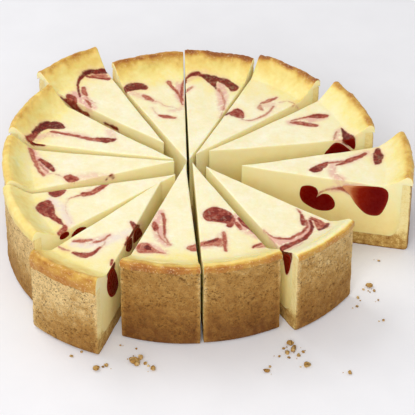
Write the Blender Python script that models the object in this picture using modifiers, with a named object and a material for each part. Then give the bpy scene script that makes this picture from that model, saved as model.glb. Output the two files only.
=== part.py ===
"""A baked cheesecake cut into fourteen portions, thirteen of which are left, modelled for Blender 4.5.

Each portion is a shortcrust base with its side wall, and a pale filling that rises inside the wall
and rolls over its top as a baked rim. Pockets of fruit sauce show at some of the cut faces.
Metres, +Z up. The origin is the middle of the cake's box, on the surface that it stands on.
"""
import math

import bmesh
import bpy
from mathutils import Matrix, Vector

MM = 0.001
GAP = 0.3 * MM              # clearance between pieces that touch

# Driving dimensions of one portion
PORTIONS = 14
LENGTH = 112 * MM           # from the tip to the outside of the side wall
TURN_STEPS = 5 * PORTIONS   # facets round the whole cake

# Crust
BASE_THICKNESS = 10.0 * MM
WALL_THICKNESS = 5.5 * MM
FOOT_FLARE = 1.2 * MM       # the wall leans out by this much at its foot
FOOT_ROUND = 2.8 * MM       # outer bottom edge
WALL_EDGE = 1.2 * MM        # bevel along the top of the wall
CORNER_ALONG = 7 * MM       # fillet between base and wall, along the base
CORNER_UP = 13 * MM         # the same fillet, up the wall

# Baked rim of the filling
CREST_INSET = 3.5 * MM      # the highest line lies this far inside the wall's outer face
RIM_OVERHANG = 0.8 * MM     # the rolled rim stands this far outside the wall
RIM_FOOT = 2.4 * MM         # height of the rim's straight lower edge
BOWL_START = 0.84           # share of the length where the surface begins to rise to the rim
BOWL_POWER = 1.3            # how late that rise comes
TIP_RISE = 1.6 * MM         # the surface is a little higher again at the tip

# One row for each portion, counter-clockwise from the one that is drawn out of the ring:
# name, tip x and y in mm, direction and angle in degrees, then the heights in mm of the wall, the
# rim's crest and the middle of the surface. The cuts aren't quite even.
SLICES = (
    ("01", 21.5, -0.5, 1.4, 25.7, 54.5, 62.0, 52.0),
    ("02", 0.2, 14.1, 23.8, 28.3, 55.5, 62.5, 52.5),
    ("03", -8.3, 10.9, 53.7, 25.7, 56.5, 63.0, 52.0),
    ("04", -12.2, 6.3, 79.6, 25.7, 57.0, 63.5, 51.5),
    ("05", -13.9, 5.8, 105.3, 26.6, 56.5, 62.5, 51.0),
    ("06", -29.1, 23.5, 129.7, 25.7, 56.0, 62.5, 51.5),
    ("07", -22.3, 7.0, 155.1, 27.7, 56.5, 63.0, 51.0),
    ("08", -21.5, 4.5, 184.7, 25.7, 57.0, 62.5, 51.5),
    ("09", -20.7, -8.9, 205.1, 27.6, 55.0, 61.5, 51.0),
    ("10", -29.9, -17.6, 237.9, 25.7, 52.2, 62.2, 52.7),
    ("11", -14.6, -1.3, 262.6, 25.7, 60.2, 63.7, 54.2),
    ("12", -10.2, -0.3, 286.9, 25.7, 60.2, 63.7, 54.2),
    ("13", -1.6, -4.2, 313.3, 25.7, 60.0, 63.5, 54.2),
)

# Pockets of fruit sauce: node name, portion, side of the cut (1 is the counter-clockwise face),
# depth in mm, and the outline on the cut face as distance from the tip and height, both in mm
POCKETS = (
    ("sauce_01_drop", "01", -1, 10, (
        (67.5, 47.5), (77.5, 49.3), (87, 50.4), (94, 50.4), (97.6, 46.5), (97.2, 38), (94.2, 29), (90.3, 26),
        (83.9, 26.8), (77.3, 33.1), (71.8, 41.9))),
    ("sauce_01_heart", "01", -1, 8, (
        (39.6, 37.5), (41, 42.6), (45.5, 44.2), (50, 43), (51.8, 39.3), (51, 34.8), (54.5, 38.6), (59, 38.6),
        (62.8, 34), (63, 28.5), (58.8, 25), (51.2, 24.6), (43, 28.8), (40.2, 33))),
    ("sauce_02_low", "02", -1, 7, (
        (79.2, 40), (81.6, 45.5), (85.3, 49.8), (89.5, 49.2), (93.8, 45.4), (97.6, 41), (98.5, 36), (95, 31),
        (87, 31))),
    ("sauce_02_high", "02", -1, 5, (
        (92, 51), (95.2, 51.8), (98.6, 51.6), (100, 47), (99.4, 43), (96.8, 45), (93.8, 48.4))),
    ("sauce_09_small", "09", 1, 4, (
        (85.6, 46.2), (86.2, 49), (89.3, 49.8), (92.2, 48.8), (92.5, 46), (89.2, 44.8))),
    ("sauce_09_lens", "09", 1, 5, (
        (72.2, 45), (74.8, 46.9), (78.6, 47.7), (82.6, 45.8), (83.8, 43.4), (79.9, 42.2), (74.8, 42.6))),
    ("sauce_10_oval", "10", 1, 10, (
        (77.8, 29), (78.6, 37), (81.5, 45), (85.2, 50), (90.5, 51), (95, 47), (95.3, 39.5), (90.6, 30.4),
        (84, 26.4))),
    ("sauce_10_upper", "10", 1, 5, (
        (35.6, 37), (38, 43.4), (42, 47.6), (47, 49.6), (50.8, 48), (50.8, 42), (46.6, 39.6), (41, 38))),
    ("sauce_10_middle", "10", 1, 6, (
        (53.2, 41), (53, 48), (57.4, 50.2), (61.8, 50.8), (63.7, 47), (60.6, 42.8), (57, 40.4))),
    ("sauce_13_strip", "13", -1, 4, (
        (96.2, 51.6), (100.6, 55.4), (103.2, 55), (103.6, 47.4), (102, 41), (99.4, 38.4), (97.2, 45))),
)
POCKET_STEPS = 3            # outline points between two of those above
POCKET_RINGS = ((0.0, 1.0), (0.45, 0.9), (0.8, 0.66), (1.0, 0.34))   # share of the depth, share of the size

CRUST_COLOUR = (0.53, 0.34, 0.13, 1.0)
FILLING_COLOUR = (0.90, 0.80, 0.50, 1.0)
SAUCE_COLOUR = (0.20, 0.010, 0.008, 1.0)


def clear_scene():
    for item in list(bpy.data.objects):
        bpy.data.objects.remove(item, do_unlink=True)


def new_collection(name):
    group = bpy.data.collections.new(name)
    bpy.context.scene.collection.children.link(group)
    return group


def new_material(name, colour, roughness):
    material = bpy.data.materials.new(name)
    material.use_nodes = True
    shader = material.node_tree.nodes["Principled BSDF"]
    shader.inputs["Base Color"].default_value = colour
    shader.inputs["Roughness"].default_value = roughness
    shader.inputs["Metallic"].default_value = 0.0
    material.diffuse_color = colour
    return material


def new_object(name, mesh, group, material=None):
    item = bpy.data.objects.new(name, mesh)
    group.objects.link(item)
    if material:
        mesh.materials.append(material)
    return item


def arc(centre, radii, start, end, steps):
    """Points on an ellipse round centre, from one angle in degrees to another."""
    points = []
    for i in range(steps + 1):
        angle = math.radians(start + (end - start) * i / steps)
        points.append((centre[0] + radii[0] * math.cos(angle), centre[1] + radii[1] * math.sin(angle)))
    return points


def crust_profile(wall_height):
    """Radius and height, from the axis over the base, up the wall, down its outside and back."""
    inner = LENGTH - WALL_THICKNESS
    corner = arc((inner - CORNER_ALONG, BASE_THICKNESS + CORNER_UP), (CORNER_ALONG, CORNER_UP), -90, 0, 5)
    foot = arc((LENGTH + FOOT_FLARE - FOOT_ROUND, FOOT_ROUND), (FOOT_ROUND, FOOT_ROUND), 0, -90, 4)
    points = [(0, BASE_THICKNESS)] + corner
    points += [(inner, wall_height), (LENGTH - WALL_EDGE, wall_height), (LENGTH, wall_height - WALL_EDGE)]
    return points + foot + [(0, 0)]


def surface_height(radius, crest, middle):
    """Height of the baked surface: nearly level, then rising like a bowl's side to the rim's crest."""
    start = BOWL_START * LENGTH
    if radius < start:
        return middle + TIP_RISE * (1 - radius / start) ** 2
    share = (radius - start) / (LENGTH - CREST_INSET - start)
    return middle + (crest - middle) * share ** BOWL_POWER


def filling_profile(wall_height, crest, middle):
    """Radius and height, from the axis over the surface and the rim, down inside the wall and back."""
    crest_radius = LENGTH - CREST_INSET
    radii = [crest_radius * share for share in (0, 0.3, 0.6, 0.8, 0.867, 0.9, 0.935, 0.97)]
    points = [(radius, surface_height(radius, crest, middle)) for radius in radii]
    rim_edge = wall_height + RIM_FOOT
    points += arc((crest_radius, rim_edge), (CREST_INSET + RIM_OVERHANG, crest - rim_edge), 90, 0, 5)
    inner = LENGTH - WALL_THICKNESS
    points += [(LENGTH + RIM_OVERHANG / 2, wall_height + GAP), (inner - GAP, wall_height + GAP)]
    centre = (inner - CORNER_ALONG, BASE_THICKNESS + CORNER_UP)
    points += arc(centre, (CORNER_ALONG - GAP, CORNER_UP - GAP), 0, -90, 5)
    return points + [(0, BASE_THICKNESS + GAP)]


def turned_mesh(name, profile):
    """The profile as a line of edges at +X, for a Screw modifier to turn round the portion's tip."""
    mesh = bpy.data.meshes.new(name)
    edges = [(i, i + 1) for i in range(len(profile) - 1)]
    mesh.from_pydata([(radius, 0, height) for radius, height in profile], edges, [])
    return mesh


def wedge_mesh(name, half_angle):
    """A tall three-sided prism between the two cuts that meet at the tip."""
    bm = bmesh.new()
    reach = 1.3 * LENGTH
    side = reach * math.tan(half_angle)
    corners = [(0, 0), (reach, -side), (reach, side)]
    floor = bm.faces.new([bm.verts.new((x, y, -LENGTH)) for x, y in corners])
    raised = bmesh.ops.extrude_face_region(bm, geom=[floor])["geom"]
    bmesh.ops.translate(bm, verts=[v for v in raised if isinstance(v, bmesh.types.BMVert)], vec=(0, 0, 2 * LENGTH))
    bmesh.ops.recalc_face_normals(bm, faces=bm.faces)
    mesh = bpy.data.meshes.new(name)
    bm.to_mesh(mesh)
    bm.free()
    return mesh


def add_boolean(item, cutter, operation):
    cut = item.modifiers.new(operation.title() + "_" + cutter.name, "BOOLEAN")
    cut.operation = operation
    cut.solver = "EXACT"
    cut.object = cutter


def smooth_outline(points):
    """A closed curve through the points (Catmull-Rom), in metres."""
    curve = []
    count = len(points)
    for i in range(count):
        before, here, after, beyond = (Vector(points[(i + k) % count]) * MM for k in (-1, 0, 1, 2))
        for step in range(POCKET_STEPS):
            t = step / POCKET_STEPS
            curve.append(0.5 * (2 * here + (after - before) * t
                                + (2 * before - 5 * here + 4 * after - beyond) * t ** 2
                                + (3 * here - before - 3 * after + beyond) * t ** 3))
    return curve


def grown(outline, amount):
    """The outline moved outwards by a distance."""
    count = len(outline)
    area = sum(outline[i - 1].cross(outline[i]) for i in range(count))
    turn = math.copysign(1.0, area)
    result = []
    for i in range(count):
        along = (outline[(i + 1) % count] - outline[i - 1]).normalized()
        result.append(outline[i] + Vector((along.y, -along.x)) * amount * turn)
    return result


def pocket_mesh(name, outline, depth, side, margin=0.0):
    """A blob with its flat front on the cut face and shrinking rings behind it.

    With a margin it is the hollow that holds the blob, larger all round and open at the cut.
    """
    front = grown(outline, margin) if margin else outline
    centre = sum(front, Vector((0, 0))) / len(front)
    rings = [(share * (depth + margin), size) for share, size in POCKET_RINGS]
    if margin:
        rings.insert(0, (-WALL_THICKNESS / 4, 1.0))
    bm = bmesh.new()
    loops = []
    for inwards, size in rings:
        points = [centre + (point - centre) * size for point in front]
        loops.append([bm.verts.new((p.x, -side * inwards, p.y)) for p in points])
    for near, far in zip(loops, loops[1:]):
        bmesh.ops.bridge_loops(bm, edges=closed_edges(bm, near) + closed_edges(bm, far))
    bm.faces.new(loops[0])
    bm.faces.new(loops[-1])
    bmesh.ops.recalc_face_normals(bm, faces=bm.faces)
    bmesh.ops.triangulate(bm, faces=[f for f in bm.faces if len(f.verts) > 4])
    mesh = bpy.data.meshes.new(name)
    bm.to_mesh(mesh)
    bm.free()
    return mesh


def closed_edges(bm, verts):
    """The edges of a closed loop of vertices, made where they are missing."""
    pairs = zip(verts, verts[1:] + verts[:1])
    return [bm.edges.get(pair) or bm.edges.new(pair) for pair in pairs]


def add_portion(row, cake, cutters, crust, filling):
    name, tip_x, tip_y, direction, angle, wall, crest, middle = row
    half_angle = math.radians(angle) / 2
    place = Matrix.Translation((tip_x * MM, tip_y * MM, 0)) @ Matrix.Rotation(math.radians(direction), 4, "Z")
    wedge = new_object("wedge_" + name, wedge_mesh("wedge_" + name, half_angle), cutters)
    wedge.matrix_world = place
    profiles = {
        "crust_" + name: (crust_profile(wall * MM), crust),
        "filling_" + name: (filling_profile(wall * MM, crest * MM, middle * MM), filling),
    }
    for node, (profile, material) in profiles.items():
        item = new_object(node, turned_mesh(node, profile), cake, material)
        item.matrix_world = place
        turn = item.modifiers.new("Turn", "SCREW")
        turn.axis = "Z"
        turn.steps = turn.render_steps = TURN_STEPS
        turn.use_merge_vertices = True
        turn.merge_threshold = 0.0001
        turn.use_smooth_shade = False
        add_boolean(item, wedge, "INTERSECT")
    return [place @ Matrix.Rotation(side * half_angle, 4, "Z") for side in (-1, 1)]


def add_pocket(row, cuts, cake, cutters, sauce):
    name, portion, side, depth, points = row
    outline = smooth_outline(points)
    place = cuts[portion][side > 0]
    blob = new_object(name, pocket_mesh(name, outline, depth * MM, side), cake, sauce)
    blob.matrix_world = place
    hollow = new_object("hollow_" + name, pocket_mesh("hollow_" + name, outline, depth * MM, side, GAP), cutters)
    hollow.matrix_world = place
    add_boolean(bpy.data.objects["filling_" + portion], hollow, "DIFFERENCE")


def build():
    clear_scene()
    cake = new_collection("baked_cheesecake")
    cutters = new_collection("cutters")
    crust = new_material("shortcrust", CRUST_COLOUR, 0.85)
    filling = new_material("baked_filling", FILLING_COLOUR, 0.5)
    sauce = new_material("fruit_sauce", SAUCE_COLOUR, 0.25)
    cuts = {}
    for row in SLICES:
        cuts[row[0]] = add_portion(row, cake, cutters, crust, filling)
    for row in POCKETS:
        add_pocket(row, cuts, cake, cutters, sauce)
    for item in cutters.objects:
        item.hide_render = True
        item.display_type = "WIRE"


build()
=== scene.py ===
"""The baked cheesecake as it looks: marbled portions with a browned rim on a shortcrust case.

Each portion of the frame is replaced by a finer mesh of the same size, with its marbling painted in
from named strokes. Lengths are in millimetres until a mesh is made, then in metres.
"""
import math
import random

import bmesh
import bpy
import numpy as np
from mathutils import Matrix, Vector

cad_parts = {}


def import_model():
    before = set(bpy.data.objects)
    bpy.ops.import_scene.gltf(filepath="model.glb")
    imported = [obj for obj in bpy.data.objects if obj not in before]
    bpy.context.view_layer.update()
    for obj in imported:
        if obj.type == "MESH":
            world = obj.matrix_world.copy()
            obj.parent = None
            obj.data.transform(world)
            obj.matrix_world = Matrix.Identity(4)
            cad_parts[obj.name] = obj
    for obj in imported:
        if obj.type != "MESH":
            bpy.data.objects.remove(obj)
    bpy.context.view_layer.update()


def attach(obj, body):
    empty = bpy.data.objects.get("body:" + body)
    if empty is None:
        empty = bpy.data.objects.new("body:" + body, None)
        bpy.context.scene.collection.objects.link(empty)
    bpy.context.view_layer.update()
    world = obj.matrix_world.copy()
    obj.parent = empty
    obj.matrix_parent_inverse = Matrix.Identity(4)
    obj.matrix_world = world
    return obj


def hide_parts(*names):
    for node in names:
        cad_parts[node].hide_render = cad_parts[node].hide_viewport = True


MM = 0.001
LENGTH = 112                # from a portion's tip to the outside of its wall
INNER = 106.5               # inside of the wall
CREST = 108.5               # the rim's highest line
RIM_OUT = 112.8             # outermost point of the rolled rim
RIM_FOOT = 2.4              # height of the rim's straight lower edge
BASE = 10                   # thickness of the crust's base
CORNER_ALONG, CORNER_UP = 7, 13     # round corner between base and wall inside
FOOT_FLARE, FOOT_ROUND = 1.2, 2.8   # how far the wall's foot stands out, and its round edge
BOWL_START, BOWL_POWER = 0.84, 1.3  # the top rises to the rim from this share of the length on
TIP_RISE = 1.6              # how much higher the top is at the tip than in the middle
GAP = 0.3                   # between filling and crust, as in the solids
CLOSED = 0.4                # how far the crust is drawn across that gap, so that no dark line shows
TIP = 0.7                   # radius of the blunt tip
SHARP = math.radians(50)    # faces that meet at more than this keep a crisp edge

# Columns of the fine meshes across a portion, closer together at the cuts
COLUMNS = 84
ACROSS = np.linspace(-1, 1, COLUMNS + 1)
ACROSS = 0.42 * ACROSS + 0.58 * np.sin(ACROSS * math.pi / 2)

# name, tip x and y, direction and angle in degrees, heights of the wall, the rim's crest and the middle
SLICES = (
    ("01", 21.5, -0.5, 1.4, 25.7, 54.5, 62, 52),
    ("02", 0.2, 14.1, 23.8, 28.3, 55.5, 62.5, 52.5),
    ("03", -8.3, 10.9, 53.7, 25.7, 56.5, 63, 52),
    ("04", -12.2, 6.3, 79.6, 25.7, 57, 63.5, 51.5),
    ("05", -13.9, 5.8, 105.3, 26.6, 56.5, 62.5, 51),
    ("06", -29.1, 23.5, 129.7, 25.7, 56, 62.5, 51.5),
    ("07", -22.3, 7, 155.1, 27.7, 56.5, 63, 51),
    ("08", -21.5, 4.5, 184.7, 25.7, 57, 62.5, 51.5),
    ("09", -20.7, -8.9, 205.1, 27.6, 55, 61.5, 51),
    ("10", -29.9, -17.6, 237.9, 25.7, 52.2, 62.2, 52.7),
    ("11", -14.6, -1.3, 262.6, 25.7, 60.2, 63.7, 54.2),
    ("12", -10.2, -0.3, 286.9, 25.7, 60.2, 63.7, 54.2),
    ("13", -1.6, -4.2, 313.3, 25.7, 60, 63.5, 54.2),
)
FINE_CUTS = {"01": 46, "02": 30, "10": 36}      # rows down the cut faces that are seen wide open
PLAIN_CUT = 16

# How each rim is baked: brown of the crest line, gold beside it, yellow farther in, brown of the
# outside and where on the roll that starts, sugary roughness, drips over the wall
BAKES = {
    "01": (0.26, 0.18, 0.12, 0.55, 0, 0.5, 0.8), "02": (0.42, 0.16, 0.12, 0.7, 0, 0.8, 0.8),
    "03": (0.42, 0.24, 0.22, 0.76, 0, 1, 0.8), "04": (0.44, 0.28, 0.22, 0.8, 0, 1, 0.8),
    "05": (0.26, 0.3, 0.26, 0.64, 0, 0.6, 0.8), "06": (0.16, 0.3, 0.2, 0.54, 0, 0.4, 0.8),
    "07": (0.06, 0.24, 0.18, 0.46, 0, 0.3, 0.8), "08": (0.02, 0.16, 0.2, 0.4, 0.1, 0.3, 0.8),
    "09": (0, 0.1, 0.2, 0.3, 0.1, 0.3, 1), "10": (0.1, 0.26, 0.24, 0.66, 0.05, 0.4, 1.2),
    "11": (0.04, 0.26, 0.2, 0.78, 0.05, 0.4, 1.2), "12": (0, 0.2, 0.12, 0.72, 0.2, 0.4, 1.6),
    "13": (0, 0.04, 0.04, 0.64, 0.15, 0.4, 1.2),
}
# Painted light and shade on the crust walls: lighter on the portions at the left, where the light falls
# from, and darker at the front
PAINTED_CRUST_LIGHT = {
    "06": 0.1, "07": 0.2, "08": 0.25, "09": 0.3, "10": 0.34, "11": -0.08, "12": -0.06, "13": 0.16,
}
# Painted light and shade: how much lighter each wall is painted at its clockwise end, or darker if less
# than 0
PAINTED_CRUST_LEAN = {"10": 0.16, "13": -0.06}          # how much lighter its clockwise end is


# Marks of the marbling. Strength goes from 0 to 1, tone from 0 (deep red) over 0.5 (brown red) to 1 (tan).
# Widths are half widths in mm at a mark's start, middle and end.

def patch(strength, tone, *points):
    """An area that sauce fills."""
    return "patch", strength, tone, None, points


def line(strength, tone, widths, *points):
    return "line", strength, tone, widths, points


def haze(strength, widths, *points, kind="haze"):
    """A soft pink smear, or a pale one for the kind veil."""
    return kind, strength, 0, widths, points


# On top of each portion: points are distances along it from its tip and across it
MARBLING = {}
MARBLING["01"] = (
    patch(1, 0.25, (45,-5), (46.5,-2), (50,1), (54.5,4), (58,4.3), (57,1.5), (55,-1.5), (52,-5),
        (48,-6.3)),
    line(0.9, 0.8, (0.6,0.9,0.8), (57,3), (62,4), (67,4.5), (72,5)),
    line(1, 0.45, (0.5,1.7,1), (63,0.5), (68,3), (73,6.5), (78,9.5), (82.5,13)),
    patch(1, 0.12, (88,2), (87.7,8), (89,14.5), (91,18.5), (93,17.5), (94.2,12), (93.7,7), (91.5,3),
        (89.5,1.2)),
    line(0.5, 0.9, (0.5,0.6,0.4), (63,1), (61.5,-3), (62,-8), (65,-13), (67.5,-16)),
    haze(0.7, (2,2.5,3), (60,1), (59.5,-5), (61,-10), (64,-14)),
    haze(0.6, (2,3,2.5), (58,3), (68,4), (76,9), (84,14)),
    haze(0.5, (1.5,2,1.5), (88,4), (88,12), (91,18)),
)
MARBLING["02"] = (
    line(1, 0.5, (0.6,1.9,1.5), (64.5,8), (69,5.5), (74,1.5), (78.5,-1.5)),
    line(0.9, 0.7, (0.5,0.6,0.8), (66,9.5), (72,9.8), (78,9.5)),
    patch(1, 0.4, (78,9.8), (83,10), (88,8.3), (91,6), (89.5,4.3), (84,5), (79,7.3)),
    patch(1, 0, (92.6,-10.5), (91,-15), (89.3,-20), (88.8,-23.5), (95,-25), (94.2,-19), (93.5,-14)),
    line(0.6, 0.6, (0.4,0.8,0.9), (88,-13), (85,-17), (82,-20.5)),
    haze(0.8, (2,3.5,2), (64,8), (72,6), (82,6), (88,5)),
    haze(0.7, (1,2,2), (90,-12), (87,-17), (85,-21)),
)
MARBLING["03"] = (
    patch(0.95, 0.45, (49.8,8.5), (54,9.5), (58.6,8), (58.3,4), (55,0), (52,-1), (50.5,3)),
    line(0.9, 0.1, (0.6,0.9,0.6), (48,10.3), (50,10), (52,9.5)),
    line(0.8, 0.85, (0.3,0.7,0.6), (50.5,-1), (52,-5), (57,-9), (64,-11), (70,-11.3), (76,-10)),
    line(0.9, 0.65, (0.4,1.5,0.5), (73,-1), (78,-3), (82,-4.3), (86,-5.6)),
    line(0.65, 0.9, (1.4,2.2,0.8), (71,-2), (68.5,-4), (67.5,-6.5)),
    line(0.65, 0.95, (0.3,0.5,0.4), (82,-10.5), (86,-14), (87,-19), (85.5,-23.5)),
    haze(0.5, (2,3,2), (70,-4), (77,-7), (74,-10)),
)
MARBLING["04"] = (
    patch(1, 0.05, (81.8,-3), (85.5,0.8), (90,5), (94,9.5), (95.3,14), (96.3,10), (96,3), (95.5,-3),
        (93,-2.5), (88,-1.8)),
    patch(1, 0.1, (95.7,1), (95.3,-5), (93,-11), (89,-16.3), (84.5,-17.8), (81.3,-14.5), (82.3,-12.6),
        (86,-9.8), (88.3,-7), (90,-4), (93,-1.5)),
    line(1, 0.2, (0.4,0.7,0.9), (86,19.5), (91,19.8), (94.5,17.5), (96,12)),
    line(0.75, 0.8, (0.8,1.3,0.8), (75,17), (79,15.5), (81.5,14)),
    line(0.55, 0.85, (0.5,1,1.4), (50,-11), (58,-12), (67,-11.3), (75,-8.5), (82,-4.5)),
    haze(0.8, (2,3.5,2.5), (60,-11), (72,-9), (84,-6), (91,-5)),
    haze(0.5, (1,2,1.5), (88,18), (94,15), (96.5,8)),
)
MARBLING["05"] = (
    patch(1, 0.1, (86.5,22.3), (91,21.8), (94,17.5), (94,12), (92,7), (89,5.3), (86,6), (85.3,8.5),
        (86.2,12), (86.8,17)),
    line(0.8, 0.7, (0.4,0.5,0.8), (68,18.5), (76,20.8), (82,22), (88,22)),
    line(0.85, 0.75, (1,2,1.2), (72,6), (76,8.5), (79,10.5)),
    line(0.6, 1, (0.5,0.6,0.4), (73,6.5), (68,1.5), (64,-1), (61,-5), (58,-8)),
    line(0.95, 0.6, (0.8,1.7,0.7), (53.5,5.5), (51,2), (48,-4)),
    line(0.5, 1, (0.4,0.6,0.3), (53,6), (58,7), (64,8)),
    line(0.85, 0.65, (0.4,1,1.6), (62,-13), (71,-13.8), (80,-12.3), (85,-11), (90,-10.5)),
    line(0.8, 0.55, (0.5,1.2,0.5), (66,-14.5), (74,-15.3), (82,-18), (89,-20.8)),
    haze(0.85, (1.5,3,2), (62,-14), (74,-14), (86,-17)),
    haze(0.6, (1.5,2.5,2), (70,4), (78,11), (86,19)),
    haze(0.5, (1,1.5,1.5), (57,-3), (56.5,-9), (60,-13)),
)
MARBLING["06"] = (
    line(1, 0.1, (0.3,0.6,1), (79,11.5), (85,8.3), (91,4.5), (95,-0.5), (97,-5.5)),
    line(1, 0.05, (0.9,1.2,2.2), (97,-5), (96.5,-10), (94.5,-14.5), (91.5,-19.5)),
    line(0.95, 0.4, (0.6,1,1.6), (95,-6), (92,-8.5), (88,-12), (83.5,-16)),
    patch(0.7, 0.75, (95,-8), (89.5,-11), (85,-16), (88,-18.5), (91,-18), (94,-13)),
    line(0.9, 0.6, (0.8,1.6,1.4), (77,7.5), (81,6.5), (85.5,3.5)),
    line(0.6, 0.85, (0.5,0.5,0.5), (77,8), (72,9), (66,8)),
    line(0.75, 0.6, (0.8,1,0.5), (64,12.5), (69,11.3), (74,11)),
    patch(1, 0.35, (74,18.5), (80,20.5), (86,18.5), (85,15), (80,14.3), (76,16)),
    haze(0.9, (3,4,3), (64,13), (74,12), (84,13)),
    haze(0.5, (1.5,2,2), (93,-6), (88,-12), (84,-17)),
)
MARBLING["07"] = (
    patch(1, 0, (94.5,15), (97.5,16.5), (98,10), (97.6,4), (95.7,-1), (92,-4), (87,-4.2), (83,-1.8),
        (82,0), (85,2), (89,4), (92.5,6), (94.5,10)),
    line(1, 0.3, (1.2,1.6,1.8), (96,14), (95.5,19), (96.5,24)),
    line(1, 0.2, (1.3,2.5,1.6), (46,-3), (50,-0.5), (56.5,1)),
    line(0.95, 0.55, (1.8,0.9,0.9), (56,1.5), (62,3.3), (71,4.2), (80,5.6), (88,7)),
    line(0.5, 1, (0.6,0.7,0.5), (88,7), (89.5,10), (89.5,16)),
    haze(0.6, (1.5,2,2), (60,2), (74,3.5), (90,12), (93,20)),
    haze(0.5, (2,2.5,2), (48,-5), (52,-9), (54,-12)),
)
MARBLING["08"] = (
    patch(0.95, 0.45, (64,14), (69,15.7), (72.3,13), (73,9.3), (70,7.3), (66,9), (63.5,12)),
    line(0.5, 0.8, (0.6,0.8,0.5), (73,9.5), (78,7), (82,6)),
    line(1, 0.25, (1,1.9,1.3), (80,3), (82.5,-1.5), (85,-5.5), (88,-9.5)),
    line(0.9, 0.65, (0.7,1,1.7), (86,7.5), (89,2), (91,-5), (93,-12), (94.5,-19)),
    line(0.7, 0.5, (0.4,0.5,0.4), (83,5), (87,-1), (90,-8)),
    line(0.8, 0.3, (0.6,1,0.6), (42,10), (43.5,13), (45,16)),
    line(0.4, 1, (0.4,0.5,0.4), (45,13), (54,11), (62,10)),
    haze(0.4, (3,4,3), (46,12), (56,11), (66,11)),
    haze(0.9, (2,3,2), (84,5), (87,-2), (91,-12), (94,-20)),
)
MARBLING["09"] = (
    line(1, 0.5, (1,1.8,1.9), (42,-12.5), (46,-10), (52,-8), (57,-6.2), (62,-7)),
    line(0.8, 0.85, (1,0.6,0.3), (61,-7), (67,-7.4), (72,-7)),
    line(0.5, 1, (0.3,0.4,0.3), (71,-7), (75,-4), (77.5,1), (79,8), (79.5,16)),
    patch(1, 0.3, (71,-16), (75,-12.6), (79,-12), (81.7,-15), (81.5,-20), (77,-19.5), (73,-18)),
    patch(1, 0.3, (84.3,10), (86,5), (84.8,0), (84,-4), (84,-8), (84.5,-11.5), (88,-11.7), (93,-9.8),
        (95,-5), (93.5,0), (90.5,5), (88,10), (86,15), (84.5,17)),
    line(1, 0.5, (1.2,1.8,1.5), (84.5,17), (86,19.5), (89.5,22)),
    haze(0.8, (2,3,2.5), (83,-11), (80.5,-3), (80.5,5), (80.5,15), kind="veil"),
    haze(0.5, (1.5,2,1.5), (44,-13), (54,-9), (62,-8)),
)
MARBLING["10"] = (
    line(1, 0.4, (0.6,1,2), (74,3.6), (79,3), (83,1.5), (86,-2)),
    line(1, 0.4, (2,1.5,0.5), (85,0), (87,-4), (87.5,-8)),
    line(0.8, 0.75, (0.5,0.9,0.6), (61,1.3), (66,0.8), (70,-0.6), (72.5,-3)),
    line(0.6, 0.8, (0.3,0.5,0.6), (68,2.5), (72,3.6), (76,3.6)),
    line(0.75, 0.65, (0.7,1.5,0.9), (71.5,-5), (74.5,-9), (78.5,-14)),
    line(0.8, 0.85, (0.4,0.9,0.5), (87,-11), (87.8,-14), (87,-19)),
    patch(1, 0.2, (43.3,5.5), (45.5,6.5), (48,10), (51,13), (46,13), (44,10)),
    line(0.8, 0.6, (0.5,1.2,0.7), (57,12.5), (60,14), (63,14.5)),
    line(0.9, 0.4, (0.6,0.9,0.5), (79.5,16.3), (82,17.4), (84,18.5)),
    haze(0.8, (2,3.5,3), (52,10), (62,6), (74,-3), (80,-12), kind="veil"),
    haze(0.6, (1.5,2,1.5), (62,1), (72,-4), (77,-13)),
)
MARBLING["11"] = (
    line(0.95, 0.55, (0.9,0.9,0.6), (51.5,-7.3), (57,-5.5), (64,-4.4), (71,-3)),
    line(0.8, 0.75, (0.6,0.5,0.5), (71,-3), (76,-1), (80.5,2)),
    line(0.7, 0.75, (0.5,0.7,0.4), (66,-8.5), (72,-6.5), (76.5,-3.3), (80,0.5)),
    patch(0.95, 0.45, (59.5,-11.3), (63,-8.6), (66.5,-8), (68.3,-9.8), (64,-12.3), (61,-12.8)),
    patch(0.85, 0.72, (88.8,1), (87.3,-4), (83.5,-8.5), (80,-12), (81,-17), (86,-19), (89.3,-16),
        (89.3,-8)),
    patch(1, 0, (81.5,-12), (84,-9.5), (86.5,-9.3), (86.5,-12.5), (84,-14.5)),
    patch(0.85, 0.65, (76.5,18), (82,19.5), (84.3,17), (82.3,12.5), (79.3,13), (78,16)),
    haze(0.9, (2,3,2), (50,-9), (62,-9), (74,-5), (80,0)),
    haze(0.8, (1.5,3,3), (88,0), (84,-9), (84,-17)),
)
MARBLING["12"] = (
    patch(1, 0.35, (46.8,-1), (47.3,3), (51,7), (56,10), (60.5,9.3), (64.5,6), (61.8,1), (60,-4), (57,-8),
        (53,-8.6), (48.5,-6)),
    patch(1, 0, (56,9), (60.5,8.5), (62,5), (60,0), (59,-2.5), (57.5,2)),
    line(1, 0.4, (1.2,1.5,1.6), (61,9), (64,7), (66,5)),
    line(1, 0.3, (0.9,1.6,0.7), (62,13), (67,14.3), (72,16.3), (77,18)),
    line(0.9, 0.6, (0.5,1.3,0.8), (63,8.5), (67,10.5), (71.5,11)),
    patch(0.8, 0.8, (75.5,-5), (78,-2.3), (83,-3), (84.3,-7), (81.8,-12), (81,-18), (83,-22), (78,-20),
        (76,-15), (77,-10)),
    line(0.9, 0.3, (1,1.3,0.9), (76.5,-6), (77.5,-10), (78,-15)),
    line(0.9, 0.6, (0.8,1.2,0.9), (71.5,-0.5), (77,-1.6), (82,-3), (88,-4.3)),
    patch(0.65, 0.88, (87.3,22), (93.3,24), (92.3,17), (90.5,12.3), (88.3,13.5)),
    line(0.9, 0.45, (0.8,1,0.6), (88.3,19), (88.8,15), (90.3,13)),
    line(0.6, 0.9, (1.2,1.6,0.8), (76,21), (80,20.5), (84,21)),
    haze(0.8, (3,3.5,2.5), (60,11), (70,13), (80,19)),
    haze(0.7, (2,2.5,2), (74,-3), (80,-8), (80,-18)),
)
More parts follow.
